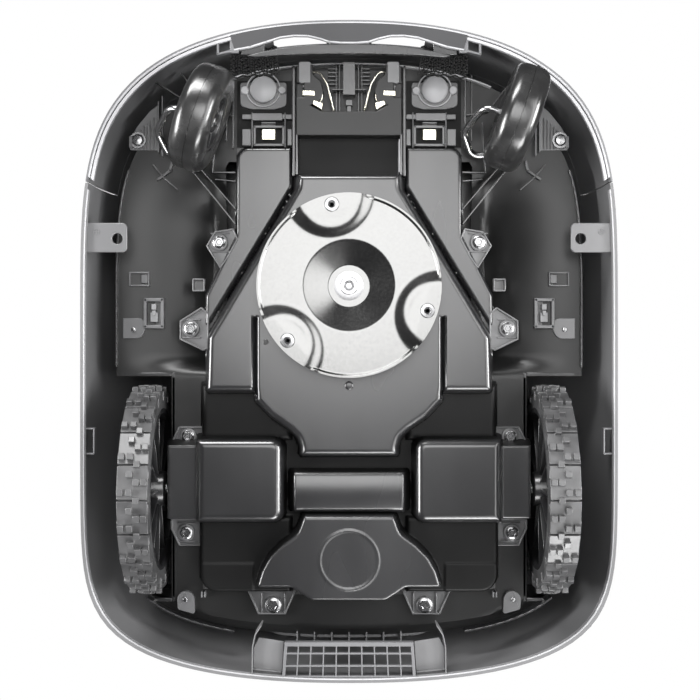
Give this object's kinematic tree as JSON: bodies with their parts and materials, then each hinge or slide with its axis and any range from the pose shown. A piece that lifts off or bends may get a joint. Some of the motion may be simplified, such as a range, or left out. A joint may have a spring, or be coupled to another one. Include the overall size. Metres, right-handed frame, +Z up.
{
  "type": "robotic lawn mower",
  "caption": "Robotic lawn mower with a floating domed cover, lugged drive wheels, bent-rod casters and a height-adjustable cutting disc with swinging blades.",
  "frame": {"origin": "on the ground under the middle of the cover", "axes": "+Z up, the front faces -Y, the drive axle lies along X"},
  "size_m": [0.545, 0.672, 0.29],
  "materials": {
    "black_plastic": "satin moulded",
    "cover_plastic": "satin moulded",
    "bumper_plastic": "satin moulded, lighter gray",
    "gloss_black": "gloss",
    "red_plastic": "gloss",
    "gray_plastic": "satin",
    "tyre_rubber": "matt rubber",
    "soft_rubber": "matt rubber",
    "bright_steel": "zinc plated",
    "polished_steel": "polished stainless",
    "motor_metal": "cast",
    "contact_brass": "plated",
    "board_green": "circuit board",
    "battery_blue": "wrapped cells",
    "display_glass": "tinted window"
  },
  "bodies": {
    "chassis": {"chassis_tub": "black_plastic", "belly_housing": "black_plastic", "belly_gasket": "soft_rubber", "belly_screws": "bright_steel", "chassis_lid": "black_plastic", "lid_screws": "bright_steel", "caster_bushes": "contact_brass", "float_caps": "black_plastic", "contact_housing": "black_plastic", "charge_contacts": "contact_brass", "main_circuit_board": "board_green", "battery_pack": "battery_blue", "left_drive_motor": "motor_metal", "right_drive_motor": "motor_metal", "axle_bearings": "bright_steel", "deck_guide_rods": "bright_steel", "control_panel": "black_plastic", "display_window": "display_glass"},
    "deck": {"deck_carrier": "black_plastic", "cutting_motor": "motor_metal"},
    "disc": {"blade_disc": "polished_steel", "cutting_shaft": "bright_steel", "disc_screw": "bright_steel", "blade_screws": "bright_steel"},
    "knob": {"height_knob": "black_plastic", "lift_spindle": "bright_steel"},
    "cover_float": {"float_posts": "soft_rubber"},
    "cover": {"cover_shell": "cover_plastic", "side_lugs": "cover_plastic", "front_bumper": "bumper_plastic", "bumper_bar": "black_plastic", "front_grilles": "black_plastic", "rear_handle": "cover_plastic", "hatch_hinge_pin": "bright_steel"},
    "hatch": {"hatch_lid": "cover_plastic"},
    "stop": {"stop_button": "red_plastic"},
    "left_drive_wheel": {"left_wheel_tyre": "tyre_rubber", "left_wheel_rim": "black_plastic", "left_wheel_axle": "bright_steel", "left_wheel_cap": "black_plastic"},
    "left_caster": {"left_caster_arm": "bright_steel", "left_caster_collars": "bright_steel"},
    "left_caster_wheel": {"left_caster_tyre": "tyre_rubber", "left_caster_hub": "black_plastic"},
    "right_drive_wheel": {"right_wheel_tyre": "tyre_rubber", "right_wheel_rim": "black_plastic", "right_wheel_axle": "bright_steel", "right_wheel_cap": "black_plastic"},
    "right_caster": {"right_caster_arm": "bright_steel", "right_caster_collars": "bright_steel"},
    "right_caster_wheel": {"right_caster_tyre": "tyre_rubber", "right_caster_hub": "black_plastic"},
    "blade_1": {"blade_1": "bright_steel"},
    "blade_2": {"blade_2": "bright_steel"},
    "blade_3": {"blade_3": "bright_steel"},
    "power_key": {"power_key": "gray_plastic"},
    "start_key": {"start_key": "gray_plastic"},
    "home_key": {"home_key": "gray_plastic"},
    "menu_key": {"menu_key": "gray_plastic"}
  },
  "joints": [
    {"name": "left_wheel_spin", "type": "hinge", "parent": "chassis", "child": "left_drive_wheel", "pos_m": [-0.2085, 0.143, 0.1086], "axis": [1, 0, 0], "continuous": true},
    {"name": "left_caster_swivel", "type": "hinge", "parent": "chassis", "child": "left_caster", "pos_m": [-0.1575, -0.2055, 0.145], "axis": [0, 0, 1], "continuous": true},
    {"name": "left_caster_spin", "type": "hinge", "parent": "left_caster", "child": "left_caster_wheel", "pos_m": [-0.14749, -0.23378, 0.054], "axis": [0.9426, 0.3338, 0], "continuous": true},
    {"name": "right_wheel_spin", "type": "hinge", "parent": "chassis", "child": "right_drive_wheel", "pos_m": [0.2085, 0.143, 0.1086], "axis": [1, 0, 0], "continuous": true},
    {"name": "right_caster_swivel", "type": "hinge", "parent": "chassis", "child": "right_caster", "pos_m": [0.1575, -0.2055, 0.145], "axis": [0, 0, 1], "continuous": true},
    {"name": "right_caster_spin", "type": "hinge", "parent": "right_caster", "child": "right_caster_wheel", "pos_m": [0.16751, -0.23378, 0.054], "axis": [0.9426, 0.3338, 0], "continuous": true},
    {"name": "deck_height", "type": "slide", "parent": "chassis", "child": "deck", "axis": [0, 0, 1], "range_m": [0, 0.03]},
    {"name": "knob_turn", "type": "hinge", "parent": "chassis", "child": "knob", "pos_m": [0, 0.008, 0.26], "axis": [0, 0, 1], "range_deg": [0, 300]},
    {"name": "disc_spin", "type": "hinge", "parent": "deck", "child": "disc", "pos_m": [0, -0.065, 0.045], "axis": [0, 0, 1], "continuous": true},
    {"name": "blade_1_swing", "type": "hinge", "parent": "disc", "child": "blade_1", "pos_m": [0.07704, -0.03997, 0.035], "axis": [0, 0, 1], "continuous": true},
    {"name": "blade_2_swing", "type": "hinge", "parent": "disc", "child": "blade_2", "pos_m": [-0.06019, -0.0108, 0.035], "axis": [0, 0, 1], "continuous": true},
    {"name": "blade_3_swing", "type": "hinge", "parent": "disc", "child": "blade_3", "pos_m": [-0.01684, -0.14423, 0.035], "axis": [0, 0, 1], "continuous": true},
    {"name": "cover_lift", "type": "slide", "parent": "chassis", "child": "cover_float", "axis": [0, 0, 1], "range_m": [0, 0.008]},
    {"name": "cover_bump", "type": "slide", "parent": "cover_float", "child": "cover", "axis": [0, 1, 0], "range_m": [-0.005, 0.005], "stiffness_N_per_m": 2500},
    {"name": "hatch_hinge", "type": "hinge", "parent": "cover", "child": "hatch", "pos_m": [0, 0.078, 0.2872], "axis": [-1, 0, 0], "range_deg": [0, 100]},
    {"name": "stop_press", "type": "slide", "parent": "cover", "child": "stop", "axis": [0, 0, -1], "range_m": [0, 0.004], "stiffness_N_per_m": 900},
    {"name": "power_key_press", "type": "slide", "parent": "chassis", "child": "power_key", "axis": [0, 0, -1], "range_m": [0, 0.0015], "stiffness_N_per_m": 500},
    {"name": "start_key_press", "type": "slide", "parent": "chassis", "child": "start_key", "axis": [0, 0, -1], "range_m": [0, 0.0015], "stiffness_N_per_m": 500},
    {"name": "home_key_press", "type": "slide", "parent": "chassis", "child": "home_key", "axis": [0, 0, -1], "range_m": [0, 0.0015], "stiffness_N_per_m": 500},
    {"name": "menu_key_press", "type": "slide", "parent": "chassis", "child": "menu_key", "axis": [0, 0, -1], "range_m": [0, 0.0015], "stiffness_N_per_m": 500}
  ],
  "couplings": [
    {"joint": "knob_turn", "follows": "deck_height", "rad_per_m": 174.5}
  ]
}
